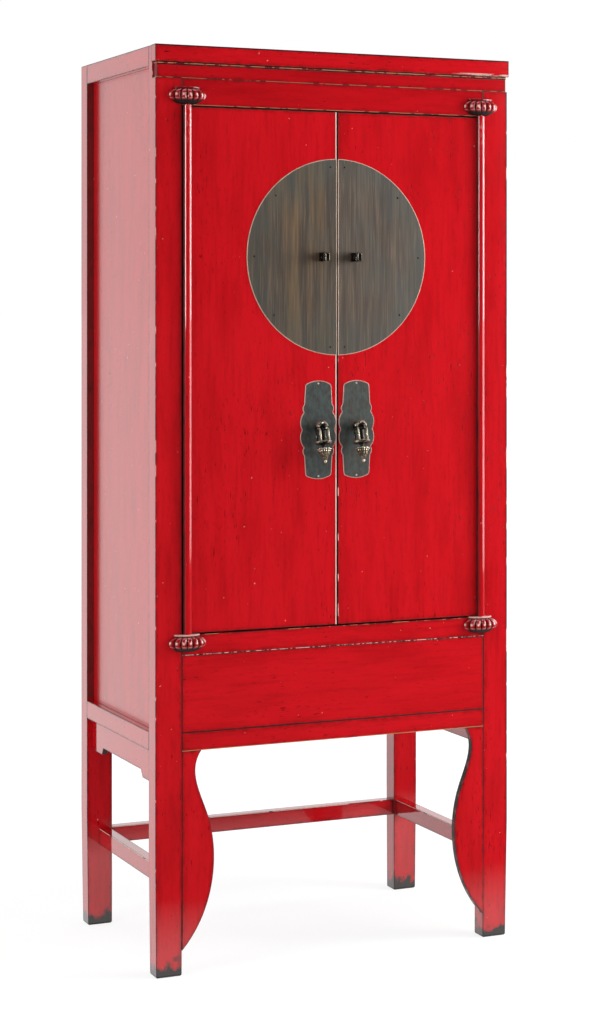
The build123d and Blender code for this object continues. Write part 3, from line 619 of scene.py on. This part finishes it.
def pivot_block(node, body, lip_highlight):
    """A half-oval block carved in lobes like a melon, between a foot and a lip. Its underside,
    groove and creases carry painted shade, and its lobes and the lower blocks' lip painted
    highlights.
    """
    low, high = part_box(node)
    half_width = (high.x - low.x) / 2 / MM
    reach = (high.y - low.y) / MM
    tall = (high.z - low.z) / MM
    angles = even_steps(half_width, reach, LOBE_STEPS * BLOCK_LOBES)
    rings = []
    grime_and_shade = []
    painted_highlight = []
    for share, size, depth in eased(BLOCK_PROFILE, 4):
        ring = []
        shade = []
        rubbed = []
        for n, angle in enumerate(angles):
            off = 2 * (n % LOBE_STEPS) / LOBE_STEPS - 1
            rise = sqrt(max(0.0, 1 - off * off))
            scale = size * (1 - depth * (1 - rise))
            ring.append((-half_width * scale * cos(angle), -reach * scale * sin(angle),
                         tall * share))
            crease = between(abs(off), *CREASE) * min(1.0, 6 * depth)
            under = between(share, *UNDERSIDE)
            groove = exp(-((share - GROOVE[0]) / GROOVE[1]) ** 2)
            shade.append(min(1.0, crease + under + groove))
            spot = max(min(full, 1.7 * full * exp(-((share - level) / half) ** 2
                                                  - (off / wide) ** 2))
                       for level, full, half, wide in SPOTS)
            rubbed.append(lip_highlight if share > LIP_START else spot)
        rings.append(ring[::-1])
        grime_and_shade.append(shade[::-1])
        painted_highlight.append(rubbed[::-1])
    shape = Shape()
    shape.loft(rings, grime_and_shade, painted_highlight)
    return shape.made(node + "_carving", ((low.x + high.x) / 2, high.y, low.z), lacquer_carved,
                      "red_lacquer", body, node)


for side in SIDES:
    for level, lip_highlight in (("upper", 0.0), ("lower", LOWER_LIP_HIGHLIGHT)):
        pivot_block(f"{side}_{level}_pivot_block", "cabinet", lip_highlight)


# ---------------------------------------------------------------- hanging pulls
# Millimetres from the pin that the hood turns on, with the pull hanging straight down.
HOOD_RADIUS = 15.0
HOOD_WALL = 2.2
SKIRT = 3.6
PIN_RADIUS = 1.6
PIN_END = 1.5  # how far its ends stop inside the hood
COLUMN_OUT = 11.4
COLUMN_IN = 7.9
COLUMN_ROUNDING = 0.9
# Painted highlight on the front columns, and painted shade on the back ones.
COLUMN_HIGHLIGHT = 0.45
COLUMN_SHADE = 0.7
COLUMN_SINK = 0.5  # how far its ends go into the ring and the saucer
RING_IN = 9.0
LANTERN_HEIGHT = 27.9
# The core is painted dark as the shade inside the lantern.
CORE_RADIUS = 5.8
SLOT_HALF = 3.6
SLOT_END = 5.0  # inside this radius the slot runs on past the middle
# An arch on the hood's front is painted dark as the shade of an opening.
ARCH_HALF = radians(34)
ARCH_HEIGHT = 6.5
HOOD_HIGHLIGHT = (3.0, -10.8, 10.0)  # where a highlight is painted on the hood
HIGHLIGHT_REACH = 3.8
HIGHLIGHT_LEVEL = 0.95
EYE_RADIUS = 5.0
PULL_LEAN = radians(15)
PETALS = 12
NECK_DROP = 4.8
NECK_HEIGHT = 9.7
TIP_DROP = 24.0
BEADS = 8
BEAD_RADIUS = 2.0
BEAD_CIRCLE = 13.0
BEAD_DROP = 0.6
BALL_RADIUS = 3.3
BALL_SEAT = 1.0
CLOSED = 0.01  # the radius that a bead or ball closes with

# The ring on the lantern: radius, height from its top, how much painted shade.
RING_SECTION = [(RING_IN, 0.1, 1.0), (12.8, 0.1, 0.8), (13.8, -0.4, 0.1), (13.8, -1.1, 0.1),
                (13.0, -1.6, 0.7), (RING_IN, -1.6, 1.0)]
# Turned profiles: radius, height from the lantern's floor or the profile's own foot, how dark
# with patina and painted shade, and how much painted highlight.
SAUCER_PROFILE = [
    (6.5, -5.0, 1.0, 0), (12.0, -4.6, 0.7, 0), (16.2, -3.2, 0.3, 0), (17.8, -1.4, 0.0, 0.2),
    (18.5, 0.4, 0.0, 0.8), (18.1, 0.9, 0.0, 1.0), (17.2, 0.3, 0.2, 0.4), (14.0, -1.1, 0.6, 0),
    (11.0, -0.6, 0.8, 0)]
NECK_PROFILE = [
    (6.4, 0.0, 0.9, 0), (6.0, 1.6, 0.8, 0), (4.4, 3.0, 1, 0), (4.2, 4.4, 0.9, 0),
    (6.0, 5.4, 0.2, 0.2), (4.4, 6.4, 0.9, 0), (5.0, 8.4, 0.9, 0), (7.0, 9.9, 1, 0)]
BASKET_PROFILE = [
    (2.0, 0.0, 0.6, 0), (3.0, 0.8, 0.2, 0.1), (5.6, 5.0, 0, 0.1), (6.8, 7.0, 0.2, 0.1),
    (6.9, 8.2, 1.0, 0), (8.6, 9.0, 0.3, 0), (10.4, 13.2, 0, 0.15), (11.2, 15.2, 0.3, 0),
    (11.2, 16.2, 1.0, 0), (12.6, 17.0, 0.3, 0), (13.2, 19.6, 0, 0.15), (13.0, 20.8, 0.9, 0),
    (14.6, 21.4, 0, 0.2), (15.0, 22.8, 0, 0.6), (14.4, 24.0, 0, 0.3), (12.0, 24.4, 0.6, 0),
    (6.0, 24.4, 1.0, 0)]


def raised(profile, foot):
    """A turned profile with its foot at a height."""
    return [(radius, foot + height, grime_and_shade, painted_highlight) for radius, height, grime_and_shade, painted_highlight in profile]


def round_profile(radius, middle, first, last, step, painted_highlight):
    """The turned profile of a ball, through angles in degrees, with a given painted highlight."""
    return [(radius * cos(radians(a)) + CLOSED, middle + radius * sin(radians(a)), 0, painted_highlight)
            for a in range(first, last, step)]


def slot_angle(radius):
    """How far the post's slot opens to each side of the back.

    The slot has parallel sides, and runs on past the top so that the post fits in it when the
    pull swings out.
    """
    beside_slot = asin(SLOT_HALF / radius)
    return beside_slot if radius > SLOT_END else pi - beside_slot


def slotted(shape, section, dark, arch_height=0.0):
    """A section of (radius, height) turned round the lantern's axis, but for the post's slot.

    Up to arch_height, an arch at the front is painted dark as the shade of an opening. A painted
    highlight is laid on it round a point on the hood.
    """
    steps = 44
    rings = []
    shade = []
    painted_highlight = []
    for n in range(steps + 1):
        ring = []
        tone = []
        rubbed = []
        for (radius, height), depth in zip(section, dark):
            half = slot_angle(radius)
            angle = radians(90) + half + (2 * pi - 2 * half) * n / steps
            ring.append((radius * cos(angle), radius * sin(angle), height))
            across = (angle - radians(270)) / ARCH_HALF
            arch = arch_height * sqrt(max(0.0, 1 - across * across))
            tone.append(1.0 if arch_height and height < arch else depth)
            away = (Vector(ring[-1]) - Vector(HOOD_HIGHLIGHT)).length / HIGHLIGHT_REACH
            rubbed.append(HIGHLIGHT_LEVEL * exp(-away * away))
        rings.append(ring)
        shade.append(tone)
        painted_highlight.append(rubbed)
    shape.loft(rings, shade, painted_highlight)


def hood(shape):
    """The domed hood as a shell, open below, slotted for the post, and painted dark inside, in its
    groove and under its lip as shade.
    """
    inner = HOOD_RADIUS - HOOD_WALL
    lifts = [radians(a) for a in range(0, 73, 8)]
    outside = [(HOOD_RADIUS * cos(a), HOOD_RADIUS * sin(a)) for a in reversed(lifts)]
    inside = [(inner * cos(a), inner * sin(a)) for a in lifts]
    groove = [(HOOD_RADIUS, 3.4 - SKIRT), (HOOD_RADIUS - 0.7, 3.0 - SKIRT),
              (HOOD_RADIUS - 0.7, 2.2 - SKIRT), (HOOD_RADIUS, 1.8 - SKIRT)]
    lip = [(HOOD_RADIUS, 1.0 - SKIRT), (HOOD_RADIUS - 0.4, -SKIRT), (inner, -SKIRT)]
    dark = [0.0] * len(outside) + [0.3, 1.0, 1.0, 0.3] + [0.1, 0.5, 1.0] + [1.0] * len(inside)
    slotted(shape, outside + groove + lip + inside, dark, ARCH_HEIGHT)


def pull(side):
    """One hanging pull.

    A hood on its pin, a lantern of four columns round a core painted dark as shade, a petalled
    saucer, a neck, a ribbed basket with beads round its rim, and a ball below. The front columns,
    beads, ball and rims carry painted highlights, and the back columns painted shade.
    """
    low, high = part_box(f"{side}_pull_drop")
    eye_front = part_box(f"{side}_pull_post")[0].y
    axis = Vector(((low.x + high.x) / 2, eye_front + EYE_RADIUS * MM, high.z - HOOD_RADIUS * MM))
    shape = Shape()
    hood(shape)
    circle = [2 * pi * n / 12 for n in range(12)]
    shape.loft([[(x, PIN_RADIUS * cos(a), PIN_RADIUS * sin(a)) for a in circle]
                for x in (PIN_END - HOOD_RADIUS, HOOD_RADIUS - PIN_END)])
    top = -SKIRT
    floor = top - LANTERN_HEIGHT
    slotted(shape, [(radius, top + height) for radius, height, _ in RING_SECTION],
            [dark for _, _, dark in RING_SECTION])
    for sx in (-1, 1):
        for sy in (-1, 1):
            xs = sorted((sx * COLUMN_OUT, sx * COLUMN_IN))
            ys = sorted((sy * COLUMN_OUT, sy * COLUMN_IN))
            ahead = sy < 0
            shape.bar((xs[0], ys[0], floor - COLUMN_SINK), (xs[1], ys[1], top + COLUMN_SINK),
                      COLUMN_ROUNDING, 0.0 if ahead else COLUMN_SHADE,
                      COLUMN_HIGHLIGHT if ahead else 0.0)
    shape.turned([(CORE_RADIUS, floor - 1, 1, 0), (CORE_RADIUS, top - 3, 1, 0),
                  (CORE_RADIUS - 1, top - 2.4, 1, 0)])
    shape.turned(raised(SAUCER_PROFILE, floor), 64, lobes=PETALS, depth=0.05)
    neck_end = floor - NECK_DROP - NECK_HEIGHT
    shape.turned(raised(NECK_PROFILE, neck_end))
    tip = neck_end - TIP_DROP
    shape.turned(raised(BASKET_PROFILE, tip), 72, lobes=PETALS, depth=0.09)
    bead = round_profile(BEAD_RADIUS, neck_end - BEAD_DROP, -80, 81, 20, 0.9)
    for n in range(BEADS):
        angle = 2 * pi * (n + 0.5) / BEADS
        shape.turned(bead, 12, at=(BEAD_CIRCLE * cos(angle), BEAD_CIRCLE * sin(angle)))
    shape.turned(round_profile(BALL_RADIUS, tip + BALL_SEAT - BALL_RADIUS, -85, 86, 17, 1.0), 20)
    lean_cosine, lean_sine = cos(PULL_LEAN), sin(PULL_LEAN)
    shape.points = [(x, y * lean_cosine + z * lean_sine, z * lean_cosine - y * lean_sine)
                    for x, y, z in shape.points]
    return shape.made(f"{side}_hanging_pull", axis, brass, "cast_brass",
                      f"{side}_pull", f"{side}_pull_drop")


for side in SIDES:
    pull(side)


# ---------------------------------------------------------------- finish of the CAD pieces
INSIDE = ("bottom_board", "cleats", "door_battens", "door_stop", "floor_board", "lid_bearers",
          "lower_back_panel", "lower_shelf", "rear_sill_rail", "top_battens", "upper_shelf")


def finish_of(node):
    """The material of a CAD node, by its name and the way its grain runs."""
    side, _, kind = node.partition("_")
    if side not in SIDES:
        kind = node
    if node in own_lacquer:
        return own_lacquer[node]
    if kind in INSIDE:
        return wood_across
    by_kind = {
        "moon_plate": plates.get(side), "pull_plate": pull_plates.get(side), "lock_lug": bronze,
        "pull_post": brass, "pull_drop": brass, "door_nails": nail_brass,
        "upper_pivot_block": lacquer_carved, "lower_pivot_block": lacquer_carved,
        "upper_back_panel": wood_up}
    if kind in by_kind:
        return by_kind[kind]
    low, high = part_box(node)
    lengths = high - low
    longest = max(range(3), key=lambda n: lengths[n])
    return (lacquer_across, lacquer_deep, lacquer_up)[longest]


# How wide the edges are rounded, in millimetres.
BEVELS = {"moon_plate": 0.5, "pull_plate": 0.5, "lock_lug": 1.0, "pull_post": 0.6,
          "door_nails": 0.3}
FRAME_BEVEL = 0.5


def soften(node, piece):
    """Merge the exported triangles into whole faces, and round their edges a little."""
    weld = piece.modifiers.new("weld", "WELD")
    weld.merge_threshold = 0.01 * MM
    whole = piece.modifiers.new("whole_faces", "DECIMATE")
    whole.decimate_type = "DISSOLVE"
    whole.angle_limit = radians(0.4)
    bevel = piece.modifiers.new("rounded_edges", "BEVEL")
    kind = node.partition("_")[2]
    bevel.width = BEVELS.get(kind, FRAME_BEVEL) * MM
    bevel.segments = 2
    bevel.limit_method = "ANGLE"
    bevel.angle_limit = radians(35)
    bevel.use_clamp_overlap = False
    piece.modifiers.new("even_shading", "WEIGHTED_NORMAL")


for node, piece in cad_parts.items():
    piece.data.materials.clear()
    piece.data.materials.append(finish_of(node))
    if not piece.hide_render:
        soften(node, piece)


# ---------------------------------------------------------------- floor, world, lamps and camera
FLOOR_REACH = 400.0
WHITE_FLOOR_AHEAD = 0.15  # how far before the doors the floor stays white in reflections
FLOOR_FADE = 0.40
FAR_FLOOR = 0.03  # how much of the white floor shows in reflections beyond that
GLOW_REACH = (0.7, 2.4)  # from the cabinet's middle: where the floor's glow grows, and is full
GLOW_LEVEL = (0.84, 1.0)
FLOOR_GREY = (0.8, 0.8, 0.8, 1)
SHADOW_GREY = (0.22, 0.22, 0.22, 1)
BLACK = (0, 0, 0, 1)
DARK_TURN = radians(12)
DARK_WAY = (sin(DARK_TURN), -cos(DARK_TURN))  # where reflections of the room are darkest
DARK_EDGE = (0.0, 0.45)  # the share of that way where they start to darken, and are darkest
DARK_LEVEL = 0.02
DAYLIGHT = 0.46  # how strongly the room lights surfaces


def seen_directly(r):
    """1 for what the camera, a mirror or glass sees, and 0 for light that falls on a surface."""
    path = r.add("ShaderNodeLightPath")
    seen = r.maths("MAXIMUM", path.outputs["Is Camera Ray"], path.outputs["Is Glossy Ray"])
    return path, r.maths("MAXIMUM", seen, path.outputs["Is Transmission Ray"])


def pale_floor():
    """White floor that keeps the object's shadow; in reflections it ends a little way in front."""
    mesh = bpy.data.meshes.new("floor")
    far = FLOOR_REACH
    mesh.from_pydata([(-far, -far, 0), (far, -far, 0), (far, far, 0), (-far, far, 0)],
                     [], [(0, 1, 2, 3)])
    floor = bpy.data.objects.new("floor", mesh)
    bpy.context.scene.collection.objects.link(floor)
    r = Recipe("floor_white")
    path, seen = seen_directly(r)
    white_from = FRONT - WHITE_FLOOR_AHEAD
    near = r.ramp(r.along("Y"), white_from - FLOOR_FADE, white_from, FAR_FLOOR, 1.0)
    shown = r.maths("MAXIMUM", path.outputs["Is Camera Ray"], near)
    reach = r.add("ShaderNodeVectorMath", {0: r.place}, operation="LENGTH").outputs["Value"]
    plain = r.add("ShaderNodeBsdfDiffuse", {"Color": FLOOR_GREY}).outputs[0]
    thin_colour = r.mix(shown, BLACK, SHADOW_GREY)
    thin = r.add("ShaderNodeBsdfDiffuse", {"Color": thin_colour}).outputs[0]
    strength = r.maths("MULTIPLY", shown, r.ramp(reach, *GLOW_REACH, *GLOW_LEVEL))
    glow = r.add("ShaderNodeEmission", {"Strength": strength}).outputs[0]
    lit = r.add("ShaderNodeAddShader", {0: thin, 1: glow}).outputs[0]
    whole = r.add("ShaderNodeMixShader", {0: seen, 1: plain, 2: lit}).outputs[0]
    r.tree.links.new(whole, r.tree.nodes["Material Output"].inputs["Surface"])
    floor.data.materials.append(r.material)


def studio_world():
    """White all round for the camera, and soft daylight on surfaces.

    Its reflections darken towards the front of the cabinet.
    """
    world = bpy.data.worlds.new("studio")
    bpy.context.scene.world = world
    world.use_nodes = True
    tree = world.node_tree
    background = tree.nodes["Background"]
    background.inputs["Color"].default_value = (1, 1, 1, 1)

    def maths(operation, a, b):
        node = tree.nodes.new("ShaderNodeMath")
        node.operation = operation
        for socket, value in zip(node.inputs, (a, b)):
            if isinstance(value, bpy.types.NodeSocket):
                tree.links.new(value, socket)
            else:
                socket.default_value = value
        return node.outputs[0]

    way = tree.nodes.new("ShaderNodeTexCoord")
    parts = tree.nodes.new("ShaderNodeSeparateXYZ")
    tree.links.new(way.outputs["Generated"], parts.inputs[0])
    ahead = maths("ADD", maths("MULTIPLY", parts.outputs["X"], DARK_WAY[0]),
                  maths("MULTIPLY", parts.outputs["Y"], DARK_WAY[1]))
    fade = tree.nodes.new("ShaderNodeMapRange")
    for index, value in enumerate((DARK_EDGE[0], DARK_EDGE[1], 1.0, DARK_LEVEL)):
        fade.inputs[index + 1].default_value = value
    tree.links.new(ahead, fade.inputs[0])
    path = tree.nodes.new("ShaderNodeLightPath")
    camera = path.outputs["Is Camera Ray"]
    mirrored = maths("MAXIMUM", path.outputs["Is Glossy Ray"], path.outputs["Is Transmission Ray"])
    mirror_part = maths("MULTIPLY", mirrored, fade.outputs[0])
    fall = maths("SUBTRACT", 1.0, maths("MAXIMUM", camera, mirrored))
    total = maths("ADD", maths("MAXIMUM", camera, mirror_part), maths("MULTIPLY", fall, DAYLIGHT))
    tree.links.new(total, background.inputs["Strength"])


pale_floor()
studio_world()


def lamp(name, place, aim, size, level):
    """A soft lamp of a width and a height.

    At level 1 a white card at the aim, facing the lamp, looks white.
    """
    light = bpy.data.lights.new(name, "AREA")
    light.shape = "RECTANGLE"
    light.size, light.size_y = size
    way = Vector(aim) - Vector(place)
    light.energy = level * pi * pi * way.length_squared
    holder = bpy.data.objects.new(name, light)
    holder.location = place
    holder.rotation_euler = way.to_track_quat("-Z", "Y").to_euler()
    bpy.context.scene.collection.objects.link(holder)


KEY_DISTANCE = 2.6
LEFT_DISTANCE = 2.9
LAMP_HEIGHT = 1.68
LOW_LAMP_HEIGHT = 0.95
FACE = (0.0, FRONT, 1.2)


def round_the_front(turn, distance, height):
    """A place at an angle to the right of straight ahead of the doors."""
    return (distance * sin(radians(turn)), FRONT - distance * cos(radians(turn)), height)


lamp("key", round_the_front(60, KEY_DISTANCE, LAMP_HEIGHT), FACE, (2.1, 2.4), 0.80)
lamp("right_strip", round_the_front(68, KEY_DISTANCE, LAMP_HEIGHT), FACE, (0.46, 0.72), 0.30)
lamp("left_strip", round_the_front(-76, LEFT_DISTANCE, LAMP_HEIGHT), FACE, (0.9, 0.76), 0.30)
lamp("low_strip", round_the_front(66, KEY_DISTANCE, LOW_LAMP_HEIGHT), FACE, (0.5, 0.7), 0.05)
lamp("top", (0.3, 0.3, 4.2), (0, 0, 1.0), (2.5, 2.5), 0.45)

PICTURE_HEIGHT = 1024
FOCAL_PIXELS = 2249.94
HORIZON_ROW = 309.58
CAMERA_TURN = radians(-23.77)
CAMERA_PLACE = (-1.9786, FRONT - 4.2957, 1.3603)
SENSOR = 36.0
view = bpy.data.cameras.new("camera")
view.sensor_fit = "VERTICAL"
view.sensor_height = SENSOR
view.lens = FOCAL_PIXELS / PICTURE_HEIGHT * SENSOR
view.shift_y = -(PICTURE_HEIGHT / 2 - HORIZON_ROW) / PICTURE_HEIGHT
camera = bpy.data.objects.new("camera", view)
camera.location = CAMERA_PLACE
camera.rotation_euler = (radians(90), 0, CAMERA_TURN)
bpy.context.scene.collection.objects.link(camera)
bpy.context.scene.camera = camera
bpy.context.scene.view_settings.view_transform = "Standard"
